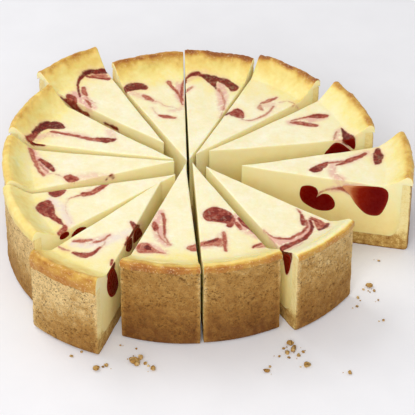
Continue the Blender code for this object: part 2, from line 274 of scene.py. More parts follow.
MARBLING["13"] = (
    line(1, 0.2, (0.5,0.8,1.3), (83.5,12), (88.5,8.5), (92,3.3), (93.8,-3)),
    line(1, 0.25, (1.3,1.5,1.9), (93.8,-3), (92.8,-9), (91.7,-14), (91,-20)),
    line(0.9, 0.5, (0.5,0.8,0.8), (82,10), (86.5,6.3), (88.3,1), (88.3,-5), (86.5,-11), (82.5,-14.5)),
    line(0.75, 0.8, (0.8,0.7,0.5), (83,-14.5), (77,-16.8), (70,-16)),
    line(1, 0.3, (0.7,1.3,1), (76,12), (80,9.3), (84,6)),
    patch(0.85, 0.65, (81,15), (86,16.6), (91,17.3), (95,17.5), (96,12.5), (93,9.5), (90,10.3),
        (85,13.5)),
    line(1, 0.1, (0.8,1.4,1), (94,17.5), (95.3,14), (94,10)),
    line(0.9, 0.4, (0.5,0.8,0.6), (82.5,13.5), (87,14.3), (91.5,13)),
    line(0.5, 0.8, (0.4,0.6,0.5), (95,-4), (97,-10), (98.5,-16)),
    line(0.7, 0.8, (0.6,0.8,0.4), (70,14), (74,13), (77,11.5)),
    haze(1, (1.5,3,3.5), (84,11), (90,4), (91,-5), (88,-14), (80,-19)),
    haze(0.7, (2,3,2), (84,13), (92,13), (96,14)),
    haze(0.6, (1,2,2), (94,-4), (95,-12), (94,-20)),
)

# On a cut face, by portion and side (1 is the counter-clockwise face): points are (along, height)
CUT_MARBLING = {}
CUT_MARBLING["01", -1] = (
    line(0.7, 0.75, (0.4,0.7,1), (51.2,34.5), (53.2,39.8), (60,43.2), (68,45)),
    line(0.9, 0.6, (0.8,2,3), (65,45), (69,45), (73,44)),
    haze(0.9, (1,2.5,3), (60,43), (68,46), (74,47)),
    haze(0.5, (1,1.5,1), (64,49), (70,49.5), (80,51)),
)
CUT_MARBLING["02", -1] = (
    patch(1, 0, (90,56), (92,49), (96,47), (100,50), (98,54), (94,57)),
    haze(1, (1,1.2,1), (88.5,54), (91,49), (97,43)),
)
CUT_MARBLING["03", -1] = (
    line(0.7, 0.95, (0.5,0.5,0.3), (86,52), (90,49.5), (93,45.5)),
)
CUT_MARBLING["06", 1] = (
    line(1, 0.05, (0.6,1.3,0.5), (40,43.5), (45,46), (52,45)),
    line(1, 0.25, (1.2,2,0.8), (67,45.5), (76,46), (84,47.5), (91,49)),
)
CUT_MARBLING["07", 1] = (
    line(1, 0.1, (1,1.5,0.5), (89,50.2), (95,51), (101,53)),
)
CUT_MARBLING["08", 1] = (
    line(0.9, 0.15, (1,0.8,0.5), (42,49.5), (44.5,50), (47,48.5)),
)
CUT_MARBLING["10", 1] = (
    haze(0.9, (1,1.3,1), (49.5,36), (52,43), (52,51)),
    haze(0.5, (2,3,2), (34,40), (40,47), (60,51)),
    patch(1, 0, (81.5,48), (82,52), (86,56), (93,56), (94,49), (88,47)),
    line(1, 0, (1.2,1.6,1.4), (41,47.5), (47,51), (63,52)),
)
CUT_MARBLING["13", -1] = (
    patch(1, 0, (94,50), (95,57), (104.5,61), (104.3,50), (101,41), (98,44)),
)

# Pockets of fruit sauce: node name with the portion's, side of the cut (1 is the counter-clockwise
# face), depth, and the outline on the cut face as distance from the tip and height
POCKETS = (
    ("sauce_01_drop", -1, 10, (
        (67.5,47.5), (77.5,49.3), (87,50.4), (94,50.4), (97.6,46.5), (97.2,38), (94.2,29), (90.3,26),
        (83.9,26.8), (77.3,33.1), (71.8,41.9))),
    ("sauce_01_heart", -1, 8, (
        (39.6,37.5), (41,42.6), (45.5,44.2), (50,43), (51.8,39.3), (51,34.8), (54.5,38.6), (59,38.6),
        (62.8,34), (63,28.5), (58.8,25), (51.2,24.6), (43,28.8), (40.2,33))),
    ("sauce_02_low", -1, 7, (
        (79.2,40), (81.6,45.5), (85.3,49.8), (89.5,49.2), (93.8,45.4), (97.6,41), (98.5,36), (95,31),
        (87,31))),
    ("sauce_02_high", -1, 5, (
        (92,51), (95.2,51.8), (98.6,51.6), (100,47), (99.4,43), (96.8,45), (93.8,48.4))),
    ("sauce_09_small", 1, 4, (
        (85.6,46.2), (86.2,49), (89.3,49.8), (92.2,48.8), (92.5,46), (89.2,44.8))),
    ("sauce_09_lens", 1, 5, (
        (72.2,45), (74.8,46.9), (78.6,47.7), (82.6,45.8), (83.8,43.4), (79.9,42.2), (74.8,42.6))),
    ("sauce_10_oval", 1, 10, (
        (77.8,29), (78.6,37), (81.5,45), (85.2,50), (90.5,51), (95,47), (95.3,39.5), (90.6,30.4),
        (84,26.4))),
    ("sauce_10_upper", 1, 5, (
        (35.6,37), (38,43.4), (42,47.6), (47,49.6), (50.8,48), (50.8,42), (46.6,39.6), (41,38))),
    ("sauce_10_middle", 1, 6, (
        (53.2,41), (53,48), (57.4,50.2), (61.8,50.8), (63.7,47), (60.6,42.8), (57,40.4))),
    ("sauce_13_strip", -1, 4, (
        (96.2,51.6), (100.6,55.4), (103.2,55), (103.6,47.4), (102,41), (99.4,38.4), (97.2,45))),
)

# Rings of a pocket piece and their share of its size: in front, how far they are inside the cut face
# in mm (less than 0 is proud of it), and behind, at which share of the depth
POCKET_FRONT = ((0.1, 1), (-0.08, 0.985), (-0.16, 0.93), (-0.2, 0.8), (-0.2, 0.6), (-0.2, 0.35))
POCKET_BACK = ((0.45, 0.9), (0.8, 0.66), (1, 0.34))

# Crumbs on the cloth: x, y, size
CRUMBS = (
    (-84,-125,2), (-68,-136,4), (-64,-134,1.6), (-62,-133,2.4), (-45,-129,5), (-41,-127,4.2),
    (-43,-132,3.4), (-38,-131,2.6), (-33,-136,3.6), (-36,-133,1.6), (-44,-118,1.6), (-54,-115,1.4),
    (-78,-121,1.5), (48,-117,2), (52,-113,3.6), (50,-121,3), (54,-118,4.4), (57,-123,2.2), (51,-125,1.6),
    (60,-120,1.8), (62,-132,4), (37,-137,3.2), (39,-133,1.6), (45,-124,1.5), (113,-34,1.7), (105,-59,4.4),
    (108,-63,2), (101,-62,1.6), (112,-91,1.7), (97,-70,2), (96,-78,1.6), (110,-72,1.5), (88,-138,2.4),
)

# Colours as seen in the photograph, red, green and blue out of 255
BAKE_COLOURS = (
    (0, (249, 243, 216)), (0.12, (243, 233, 190)), (0.28, (242, 226, 150)), (0.46, (234, 204, 114)),
    (0.64, (207, 163, 74)), (0.83, (180, 120, 46)), (1, (146, 84, 32)),
)
CUT_COLOURS = ((0, (238, 212, 138)), (0.45, (246, 228, 160)), (1, (250, 238, 186)))
SUGAR_COLOUR = (240, 212, 160)
HAZE_COLOUR = (226, 178, 162)
VEIL_COLOUR = (236, 222, 206)
SAUCE_COLOURS = ((0, (96, 16, 6)), (0.3, (138, 42, 26)), (0.6, (178, 94, 72)), (1, (212, 164, 134)))
POCKET_COLOURS = ((0, (100, 0, 0)), (0.35, (132, 26, 8)), (0.7, (172, 84, 46)), (1, (214, 150, 104)))
CRUST_COLOURS = ((0, (112, 64, 18)), (0.35, (156, 108, 46)), (0.7, (190, 146, 78)), (1, (236, 204, 142)))
CRUST_CUT_COLOURS = (
    (0, (140, 92, 34)), (0.4, (196, 156, 84)), (0.75, (238, 214, 140)), (1, (246, 228, 164)),
)
PIT_COLOUR = (98, 60, 18)
FLOOR_COLOUR = (236, 236, 240)
LIGHTER_FLOOR = (239, 239, 243)

# The photograph's view: a narrow lens (mm), looking down (degrees) at a point from some way off (m)
LENS, SENSOR = 156.66, 36
LOOKING_DOWN, LOOKED_AT, AWAY = 39.86, (-0.00014, 0.0203, 0.0), 1.232
CAMERA_ROLL = 0.006183      # radians

# Studio: colour and strength of the surroundings, and lights by name, place, size (m) and power (W)
AROUND, AROUND_STRENGTH = (1.0, 0.99, 0.975, 1), 0.62
LIGHTS = (("key", (-0.7, 0.45, 1.15), 0.7, 5.5), ("fill", (-0.2, -1.13, 0.95), 0.8, 9.2))
LIT_POINT = (0, 0, 0.03)
FLOOR_SIZE = 2.5            # half the floor's side, m


# Small numerical tools

def linear(colour):
    """The colour as Blender's linear red, green, blue and alpha."""
    parts = [c / 255 for c in colour]
    parts = [c / 12.92 if c <= 0.04045 else ((c + 0.055) / 1.055) ** 2.4 for c in parts]
    return (*parts, 1)


def smooth(low, high, value):
    t = np.clip((value - low) / (high - low), 0, 1)
    return t * t * (3 - 2 * t)


def lattice(cells, seed):
    """A repeatable random number between -1 and 1 for each whole-numbered cell."""
    mixed = cells.astype(np.int64) @ np.array((374761393, 668265263, 2246822519)) + seed * 3266489917
    mixed = (mixed ^ (mixed >> 13)) & 0xFFFFFFFF
    mixed = (mixed * 1274126177) & 0xFFFFFFFF
    mixed ^= mixed >> 16
    return mixed / 0x80000000 - 1


def noise(points, size, seed):
    """Smooth noise between about -1 and 1, with lumps of the given size in millimetres."""
    scaled = np.asarray(points, float) / size
    cell = np.floor(scaled)
    part = scaled - cell
    part = part * part * (3 - 2 * part)
    total = np.zeros(scaled.shape[:-1])
    for corner in range(8):
        step = corner >> np.arange(3) & 1
        weight = np.prod(np.where(step, part, 1 - part), axis=-1)
        total += weight * lattice(cell + step, seed)
    return total


def layers(points, seed, *parts):
    """Noise of several sizes added up. Each part is its strength and size, and has a seed of its own."""
    return sum(amount * noise(points, size, seed + i) for i, (amount, size) in enumerate(parts))


def turned(x, y, angle):
    c, s = math.cos(angle), math.sin(angle)
    return x * c - y * s, x * s + y * c


def curve_through(points, steps, closed=False):
    """A smooth curve through the points (Catmull-Rom)."""
    points = np.array(points, float)
    ends = (points[-1:], points[:2]) if closed else (points[:1], points[-1:])
    line_up = np.vstack([ends[0], points, ends[1]])
    t = np.arange(steps)[:, None] / steps
    result = []
    for before, here, after, beyond in zip(line_up, line_up[1:], line_up[2:], line_up[3:]):
        result.append(0.5 * (2 * here + (after - before) * t
                             + (2 * before - 5 * here + 4 * after - beyond) * t ** 2
                             + (3 * here - before - 3 * after + beyond) * t ** 3))
    return np.vstack(result if closed else result + [points[-1:]])


def line_distance(where, path, widths=None):
    """Distance from each place to a polyline, less the line's half width there if widths are given."""
    best = np.full(len(where), 1e9)
    for i in range(len(path) - 1):
        start, along = path[i], path[i + 1] - path[i]
        t = np.clip((where - start) @ along / max(along @ along, 1e-9), 0, 1)
        distance = np.linalg.norm(where - start - t[:, None] * along, axis=1)
        if widths is not None:
            distance -= widths[i] + (widths[i + 1] - widths[i]) * t
        best = np.minimum(best, distance)
    return best


def within(where, path):
    """Whether each place lies within a closed path."""
    crossed = np.zeros(len(where), bool)
    for (ax, ay), (bx, by) in zip(path, np.roll(path, -1, axis=0)):
        if ay != by:
            between = (ay > where[:, 1]) != (by > where[:, 1])
            crossed ^= between & (where[:, 0] < ax + (where[:, 1] - ay) * (bx - ax) / (by - ay))
    return crossed


def paint(where, strokes, seed):
    """What the strokes leave at each place of a face, from 0 to 1. The edge of sauce is at 0.5."""
    levels = {key: np.zeros(len(where)) for key in ("sauce", "tone", "haze", "veil")}
    flat = np.column_stack([where, np.zeros(len(where))])
    wobble = [0.4 * noise(flat, 3.2, seed + i) + 0.14 * noise(flat, 1.3, seed + 2 + i) for i in (1, 2)]
    spots = where + np.column_stack(wobble)
    ragged = noise(flat, 1.6, seed + 5)
    for kind, strength, tone, widths, points in strokes:
        if kind == "patch":
            path = curve_through(points, 4, closed=True)
            distance = line_distance(spots, np.vstack([path, path[:1]]))
            distance = np.where(within(spots, path), -distance, distance) + 0.15 * ragged
        else:
            path = curve_through(points, 5)
            width = np.interp(np.linspace(0, 1, len(path)), (0, 0.5, 1), widths) + 0.2
            distance = line_distance(spots, path, width)
        if kind in ("haze", "veil"):
            levels[kind] = np.maximum(levels[kind], 1.3 * strength * smooth(2.5, -2, distance))
        else:
            level = np.clip(0.5 - distance / 2.6, 0, 1) * strength
            edge = 0.2 * smooth(-0.8, 0.3, distance)
            edge += 0.22 * np.exp(-((distance + 1.7 + ragged) / 0.35) ** 2)
            over = (level >= levels["sauce"]) | (level > 0.6)
            levels["tone"] = np.where(over, 0.85 * tone + edge, levels["tone"])
            levels["sauce"] = np.maximum(levels["sauce"], level)
            levels["haze"] = np.maximum(levels["haze"], 0.4 * strength * smooth(3, 0, distance))
    return levels


# Meshes made of a stack of cells that is swept from one cut to the other

def shell(filled, hidden):
    """Faces round the filled cells of a grid, swept over the columns, and each point's step, row, column
    and side (-1 and 1 on the cuts, 0 between them).

    Edges of the stack for which hidden(edge) is true are spanned by one wide face from cut to cut.
    """
    steps, rows = filled.shape
    padded = np.zeros((steps + 2, rows + 2), bool)
    padded[1:-1, 1:-1] = filled
    edges = []
    for k, m in zip(*np.nonzero(filled)):
        corners = ((k, m), (k, m + 1), (k + 1, m + 1), (k + 1, m))
        for i, (dk, dm) in enumerate(((-1, 0), (0, 1), (1, 0), (0, -1))):
            if not padded[k + 1 + dk, m + 1 + dm]:
                edges.append((corners[i], corners[(i + 1) % 4]))
    fine = {node for edge in edges if not hidden(edge) for node in edge}
    index = {}

    def at(node, column):
        return index.setdefault((*node, column), len(index))

    faces = []
    for a, b in edges:
        if not hidden((a, b)):
            for j in range(COLUMNS):
                faces.append((at(a, j), at(b, j), at(b, j + 1), at(a, j + 1)))
        else:
            near = range(COLUMNS + 1) if a in fine else (0, COLUMNS)
            far = range(COLUMNS + 1) if b in fine else (0, COLUMNS)
            faces.append([at(b, j) for j in far] + [at(a, j) for j in reversed(near)])
    for k, m in zip(*np.nonzero(filled)):
        corners = ((k, m), (k + 1, m), (k + 1, m + 1), (k, m + 1))
        faces.append([at(c, 0) for c in corners])
        faces.append([at(c, COLUMNS) for c in reversed(corners)])
    k, m, j = np.array(list(index)).T
    return faces, k, m, j, (j == COLUMNS).astype(int) - (j == 0)


def rounded(depth, distance, radius):
    """Moves points near a square edge onto a round one: both are distances inwards from its two faces."""
    u = np.clip(1 - depth / radius, 0, 1)
    v = np.clip(1 - distance / radius, 0, 1)
    reach = np.hypot(u, v)
    scale = np.where(reach > 1e-9, np.maximum(u, v) / np.maximum(reach, 1e-9), 1)
    near = (depth < radius) & (distance < radius)
    return [np.where(near, radius * (1 - part * scale), old) for part, old in ((u, depth), (v, distance))]


def new_piece(name, points, faces, material, values):
    mesh = bpy.data.meshes.new(name)
    mesh.from_pydata(points.tolist(), [], faces)
    mesh.validate()
    for key, numbers in values.items():
        layer = mesh.attributes.new(key, "FLOAT", "POINT")
        layer.data.foreach_set("value", np.asarray(numbers, np.float32))
    mesh.shade_smooth()
    mesh.set_sharp_from_angle(angle=SHARP)
    mesh.materials.append(material)
    piece = bpy.data.objects.new(name, mesh)
    bpy.context.scene.collection.objects.link(piece)
    return piece


class Portion:
    """One portion: where it lies, how wide it is cut and how high it is."""

    def __init__(self, row):
        self.name, self.x, self.y, direction, angle, self.wall, self.crest, self.middle = row
        self.direction = math.radians(direction)
        self.half = math.radians(angle) / 2
        self.seed = int(self.name) * 40

    def placed(self, x, y, z):
        """Points in the portion's own frame, in millimetres, as points of the cake in metres."""
        x, y = turned(x, y, self.direction)
        return np.column_stack([x + self.x, y + self.y, z]) * MM

    def surface_height(self, radius):
        start = BOWL_START * LENGTH
        low = self.middle + TIP_RISE * np.clip(1 - radius / start, 0, 1) ** 2
        share = np.clip((radius - start) / (CREST - start), 0, 1)
        return low + (self.crest - self.middle) * share ** BOWL_POWER

    def pushed(self, r, angle, push):
        """x and y of points moved by push away from the nearer cut, towards the middle."""
        x = r * np.cos(angle) + math.sin(self.half) * push
        return x, r * np.sin(angle) - math.cos(self.half) * push * np.sign(angle)


# Filling

class FillingSection:
    """A grid over the filling's section: steps along its surface by rows that rise up to it."""

    def __init__(self, portion, rows):
        self.rows = rows
        self.step_up = round(rows * 0.7)            # row at the height of the wall's top
        inner = INNER - GAP
        finer = 34                                  # from here on the steps are closer together
        radii = np.concatenate([np.linspace(TIP, finer, 15)[:-1], np.linspace(finer, inner, 112)])
        rise = np.array([INNER + 0.7, INNER + 1.4])
        roll = np.radians(np.linspace(0, 90, 13))
        self.last = len(radii) - 1                  # step of the last column above the wall's inside
        rim_edge = portion.wall + RIM_FOOT
        self.top_r = np.concatenate([radii, rise, CREST + (RIM_OUT - CREST) * np.sin(roll)])
        self.top_z = np.concatenate([portion.surface_height(np.append(radii, rise)),
                                     rim_edge + (portion.crest - rim_edge) * np.cos(roll)])
        self.top_z -= 0.45 * np.exp(-((self.top_r - CREST) / 1.4) ** 2)     # the crest is rounded
        self.end = len(self.top_r) - 1
        turn = np.concatenate([np.zeros(len(radii) + len(rise)), roll])
        self.rolled = turn / (math.pi / 2)
        self.facing = np.column_stack([np.sin(turn), np.cos(turn)])

        low_z = np.full(len(self.top_r), portion.wall + GAP)
        fillet = np.clip((radii - (INNER - CORNER_ALONG)) / (CORNER_ALONG - GAP), 0, 1)
        low_z[:self.last + 1] = BASE + CORNER_UP - (CORNER_UP - GAP) * np.sqrt(1 - fillet ** 2)
        low_r = self.top_r.copy()
        low_r[self.last:] = np.linspace(inner, RIM_OUT - 0.3, len(self.top_r) - self.last)
        blend = smooth(85, inner, self.top_r)
        skin, under = 0.35, 0.9                     # depths of the two rows below the surface
        self.depth = np.zeros((len(self.top_r), rows + 1))
        part = np.zeros(self.depth.shape)
        for k, (low, top) in enumerate(zip(low_z, self.top_z)):
            full, mid = top - low, low
            if k <= self.last:
                mid = low + (full - under) * self.step_up / (rows - 2)
                mid += (portion.wall + GAP - mid) * blend[k]
            upper = np.linspace(mid, top - min(under, 0.4 * full), rows - 1 - self.step_up)
            lower = np.linspace(low, mid, self.step_up + 1)[:-1]
            self.depth[k] = top - np.concatenate([lower, upper, (top - min(skin, 0.2 * full), top)])
            part[k] = np.clip(self.depth[k] / full, 0, 1)
        self.radius = self.top_r[:, None] + (low_r - self.top_r)[:, None] * part
        self.height = self.top_z[:, None] - self.depth

    def filled(self):
        cells = np.ones((self.end, self.rows), bool)
        cells[self.last:, :self.step_up] = False
        return cells

    def hidden(self, edge):
        (k1, m1), (k2, m2) = edge
        return (m1 == m2 and m1 < self.rows) or (k1 == k2 and k1 < self.end)

    def surface(self, half):
        """Places of the surface's grid, steps by columns, in the portion's frame."""
        turn, r, z = np.broadcast_arrays(ACROSS * half, self.top_r[:, None], self.top_z[:, None])
        return np.stack([r * np.cos(turn), r * np.sin(turn), z], axis=-1)


def surface_relief(portion, section, spot):
    """Unevenness of the baked surface, rougher and sugary at the rim."""
    seed, sugar, r = portion.seed, BAKES[portion.name][5], section.top_r[:, None]
    relief = 0.35 * noise(spot, 17, seed) * smooth(5, 30, r) + 0.1 * noise(spot, 5, seed + 1)
    relief += smooth(92, 106, r) * layers(spot, seed + 2, (0.6, 9), (0.3, 3.4))
    grains = layers(spot, seed + 4, (0.3, 1.7), (0.18, 0.9))
    return relief + smooth(103, 108, r) * sugar * grains


def browning_and_crease_shadow(portion, section, spot):
    """How far the surface is baked, with a painted crease shadow where the rim droops: 0 is cream, 1 is
    dark brown.
    """
    brown, gold, yellow, outside, start, _, drip = BAKES[portion.name]
    seed = portion.seed
    inwards = np.maximum(CREST - section.top_r, 0)[:, None] * (1 + 0.4 * noise(spot, 13, seed + 13))
    inside = brown * np.exp(-(inwards / 1.8) ** 1.5) + gold * np.exp(-(inwards / 8) ** 1.3)
    inside += yellow * np.exp(-(inwards / 24) ** 2)
    rolled = section.rolled[:, None]
    bake = inside + (outside - inside) * smooth(start, start + 0.6, rolled)
    bake += 0.07 * np.exp(-((1 - rolled) / 0.15) ** 2)
    # Painted shadow of a crease: a darker line along the middle of the roll on rims that droop over the
    # wall
    crease_shadow = np.exp(-((rolled - 0.5 - 0.12 * noise(spot, 8, seed + 15)) / 0.09) ** 2)
    bake += 0.16 * smooth(0.9, 1.3, drip) * crease_shadow * (0.6 + 0.6 * noise(spot, 5, seed + 16))
    grain = layers(spot, seed + 11, (0.2, 7), (0.16, 2.4))
    grain += 0.05 * noise(spot * (0.12, 1, 0), 4, seed + 14)
    return np.clip(0.08 + 0.94 * bake * (1 + grain * (1 - 0.6 * rolled)), 0, 1)


def filling_piece(portion, material):
    seed = portion.seed
    section = FillingSection(portion, FINE_CUTS.get(portion.name, PLAIN_CUT))
    faces, k, m, j, side = shell(section.filled(), section.hidden)
    angle = ACROSS[j] * portion.half
    depth = section.depth[k, m]

    # Relief of the baked surface, carried a little way down the cut faces
    spot = section.surface(portion.half)
    painted = paint(spot[..., :2].reshape(-1, 2), MARBLING[portion.name], seed + 6)
    painted = {key: level.reshape(spot.shape[:2]) for key, level in painted.items()}
    relief = surface_relief(portion, section, spot) - 0.18 * smooth(0.45, 0.8, painted["sauce"])
    sunk = relief[k, j] * np.exp(-depth / 5)
    r = section.radius[k, m] + section.facing[k, 0] * sunk
    z = section.height[k, m] + section.facing[k, 1] * sunk

    # The rim's lower edge hangs over the wall, farther in places
    drip = BAKES[portion.name][6]
    runs = 0.5 + layers(np.outer(ACROSS[j], (26, 0, 0)), seed + 7, (0.5, 5.5), (0.35, 2.1))
    share = np.where(k == section.end, (section.rows - m) / (section.rows - section.step_up), 0)
    z -= share * (0.5 + 0.5 * drip + drip * np.clip(runs, 0, 1.4) ** 1.6)
    r += share * 0.3

    # Rounded edges between the top and the cuts, and cuts that aren't quite flat
    distance = r * np.sin(portion.half - np.abs(angle))
    new_depth, new_distance = rounded(depth, distance, np.minimum(0.9, 0.12 * r + 0.12))
    z -= new_depth - depth
    face_spot = np.column_stack([r, z, side * 9])
    wave = 0.18 * np.abs(noise(face_spot, 8, seed + 9)) + 0.06 * np.abs(noise(face_spot, 2, seed + 10))
    wave *= np.abs(side) * smooth(0, 2, depth)
    x, y = portion.pushed(r, angle, new_distance - distance + wave)

    # What is painted: browning with a painted crease shadow, marbling and how much of a cut face it is
    on_cut = (side != 0) & (m < section.rows)
    fade = np.where(on_cut, np.exp(-depth / 2.5), 1)
    values = {key: level[k, j] * fade for key, level in painted.items() if key != "tone"}
    values["tone"] = painted["tone"][k, j]
    for face_side in (-1, 1):
        on = on_cut & (side == face_side)
        strokes = CUT_MARBLING.get((portion.name, face_side), ())
        more = paint(np.column_stack([r[on], z[on]]), strokes, seed + 20)
        stronger = more["sauce"] > values["sauce"][on]
        values["tone"][on] = np.where(stronger, more["tone"], values["tone"][on])
        for key in ("sauce", "haze", "veil"):
            values[key][on] = np.maximum(values[key][on], more[key])
    values["bake"] = browning_and_crease_shadow(portion, section, spot)[k, j] * np.where(on_cut, np.exp(-depth / 3.5), 1)
    values["cut"] = on_cut * smooth(0, 0.9, depth)
    values["height"] = np.clip((z - BASE) / (portion.middle - BASE), 0, 1)
    piece = new_piece("cream_" + portion.name, portion.placed(x, y, z), faces, material, values)
    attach(piece, "root")
    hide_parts("filling_" + portion.name)


# Crust

def corner(r, z, along, up, steps):
    """Points round a quarter turn from below the centre to beside it."""
    return [(r + along * math.sin(t), z - up * math.cos(t)) for t in np.radians(np.linspace(0, 90, steps))]


def crust_section(wall):
    """The crust's section as a bent strip, rows from its outer to its inner line by steps along it, and
    how many of the steps are in the base."""
    rows, base_steps, corner_steps, wall_steps = 8, 70, 12, 66
    bevel = 1.2                 # at the wall's outer top edge
    top, turn_r, turn_z = wall + CLOSED, INNER - CORNER_ALONG, BASE + CORNER_UP
    inner = [(r, BASE + CLOSED) for r in np.linspace(TIP, turn_r, base_steps)]
    inner += corner(turn_r, turn_z, CORNER_ALONG - CLOSED, CORNER_UP - CLOSED, corner_steps + 1)[1:]
    inner += [(INNER - CLOSED, z) for z in np.linspace(turn_z, top, wall_steps + 1)[1:]]
    foot_centre = LENGTH + FOOT_FLARE - FOOT_ROUND
    outer = [(r, 0.0) for r in np.linspace(TIP, foot_centre - 2, base_steps)]
    outer += corner(foot_centre, FOOT_ROUND, FOOT_ROUND, FOOT_ROUND, corner_steps - 2)
    for rise in np.linspace(0, 1, wall_steps + 3)[1:]:
        outer.append((LENGTH + FOOT_FLARE * (1 - rise), FOOT_ROUND + (wall - bevel - FOOT_ROUND) * rise))
    inner, outer = np.array(inner), np.array(outer)
    part = np.linspace(0, 1, rows + 1)[None, :, None]
    section = outer[:, None] + (inner - outer)[:, None] * part
    section[-1, 1:, 1] = top
    section[-1, 1, 0] = LENGTH - bevel
    return section, base_steps


def crust_piece(portion, material):
    seed = portion.seed + 700
    section, base_steps = crust_section(portion.wall)
    end = len(section) - 1

    def hidden(edge):
        (k1, m1), (k2, m2) = edge
        outside = m1 == m2 == 0 and min(k1, k2) >= base_steps - 1
        bevel = k1 == k2 == end and max(m1, m2) == 1
        return not (outside or bevel)

    faces, k, m, j, side = shell(np.ones((end, section.shape[1] - 1), bool), hidden)
    angle = ACROSS[j] * portion.half
    r, z = section[k, m].T
    upright = k >= base_steps
    spot = np.column_stack([r * np.cos(angle), r * np.sin(angle), z])

    # Crumb relief of the wall's outside: lumps, grains and a few larger pits
    seen = (m <= 1) & upright
    lumps = layers(spot, seed, (0.26, 6), (0.16, 2.6), (0.12, 1.3))
    pit = smooth(0.62, 0.85, noise(spot, 1.5, seed + 3)) * smooth(-0.3, 0.4, noise(spot, 12, seed + 4))
    grow = np.where(seen, np.clip(lumps - 0.6 * pit, -1, 0.45), 0) * smooth(0, 3, z)

    # Rounded and crumbled edges at the cuts
    distance = r * np.sin(portion.half - np.abs(angle))
    out_depth = np.where(upright, np.hypot(*(section[k, m] - section[k, 0]).T), 99)
    new_depth, new_distance = rounded(out_depth, distance, 1.1 + 0.5 * noise(spot, 4, seed + 6))
    grow -= np.where(upright, new_depth - out_depth, 0)
    crumbled = 0.35 * np.abs(noise(spot, 2.4, seed + 7)) + 0.2 * np.abs(noise(spot, 1.1, seed + 8))
    push = new_distance - distance + np.abs(side) * crumbled * smooth(2, 12, r)
    x, y = portion.pushed(r + grow, angle, push)

    # What is painted: the tone, darker at the foot and lighter at corners and top, with painted light and
    # shade by portion
    on_cut = (side != 0) & (m > 0)
    up = np.clip(z / portion.wall, 0, 1)
    tone = 0.16 + 0.46 * smooth(0, 0.8, up) + 0.12 * smooth(0.8, 1, up)
    tone += layers(spot, seed + 9, (0.1, 9), (0.09, 2.6))
    tone += 0.3 * smooth(3.5, 0, distance) * upright
    # Painted light and shade: walls at the left are lighter, walls at the front darker, with a lean across
    # some walls
    tone += PAINTED_CRUST_LIGHT.get(portion.name, 0) - PAINTED_CRUST_LEAN.get(portion.name, 0) * ACROSS[j]
    baked = smooth(7, 20, z)
    cut_tone = 0.3 + 0.65 * baked + (0.3 - 0.25 * baked) * noise(spot, 2, seed + 11)
    values = {"tone": np.clip(np.where(on_cut, cut_tone, tone), 0, 1), "pit": seen * pit, "cut": on_cut}
    piece = new_piece("case_" + portion.name, portion.placed(x, y, z), faces, material, values)
    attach(piece, "root")
    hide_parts("crust_" + portion.name)


# Sauce and crumbs

def pocket_piece(pocket, portion, material):
    """A blob of sauce set in the cut face, glossy and a little proud of it."""
    node, side, depth, outline = pocket
    path = curve_through(outline, 9, closed=True)
    centre = path.mean(axis=0)
    rings = list(reversed(POCKET_FRONT)) + [(share * depth, size) for share, size in POCKET_BACK]
    count, last = len(path), len(path) * (len(rings) - 1)
    points, faces, rimward = [], [], []
    for inwards, size in rings:
        for along, height in centre + (path - centre) * size:
            points.append((along, -side * inwards, height))
            rimward.append(size)
    for first in range(0, last, count):
        for i in range(count):
            a, b = first + i, first + (i + 1) % count
            faces.append((a, b, b + count, a + count))
    for first, reach in ((0, rings[0][0]), (last, depth)):
        for i in range(count):
            faces.append((first + i, first + (i + 1) % count, len(points)))
        points.append((centre[0], -side * reach, centre[1]))
        rimward.append(0.0)
    points, rimward = np.array(points), np.array(rimward)
    x, y = turned(points[:, 0], points[:, 1], side * portion.half)
    pale = 0.04 + 0.24 * smooth(0.75, 1, rimward) + 0.05 * noise(points, 6, 5)
    if node == "sauce_01_drop":
        low, high = path.min(axis=0), path.max(axis=0)
        leftness = (high[0] - points[:, 0]) / (high[0] - low[0])
        pale += 0.8 * smooth(0.6, 1, leftness) + 0.34 * smooth(0.25, 0.75, leftness)
    piece = new_piece(node.replace("sauce", "fruit"), portion.placed(x, y, points[:, 2]), faces, material,
                      {"pale": np.clip(pale, 0, 1)})
    bm = bmesh.new()
    bm.from_mesh(piece.data)
    bmesh.ops.recalc_face_normals(bm, faces=bm.faces)
    bm.to_mesh(piece.data)
    bm.free()
    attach(piece, "root")
    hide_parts(node)


def crumbs_piece(material):
    """Loose crumbs of the case on the cloth, all in one piece."""
    picker = random.Random(11)
    bm = bmesh.new()
    bmesh.ops.create_icosphere(bm, subdivisions=3, radius=1.0)
    shape = np.array([v.co for v in bm.verts])
    ball = [[v.index for v in f.verts] for f in bm.faces]
    bm.free()
    small = [(x + picker.uniform(-5, 5), y + picker.uniform(-3, 3), picker.uniform(0.5, 1.0))
             for x, y, _ in CRUMBS]
    points, faces = [], []
    for number, (x, y, size) in enumerate((*CRUMBS, *small)):
        stretch = [picker.uniform(*limits) for limits in ((0.8, 1.3), (0.7, 1.1), (0.55, 0.8))]
        lumpy = 1 + layers(shape + number * 7, 3, (0.28, 0.7), (0.12, 0.3))
        crumb = shape * stretch * lumpy[:, None] * size * 0.5
        crumb[:, 0], crumb[:, 1] = turned(crumb[:, 0], crumb[:, 1], picker.uniform(0, math.tau))
        crumb[:, 2] -= crumb[:, 2].min()
        faces += [[i + len(points) for i in face] for face in ball]
        points += (crumb + (x, y, 0)).tolist()
    points = np.array(points)
    piece = new_piece("crumbs", points * MM, faces, material, {"tone": 0.78 + 0.3 * noise(points, 3, 8)})
    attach(piece, "root")


# Materials

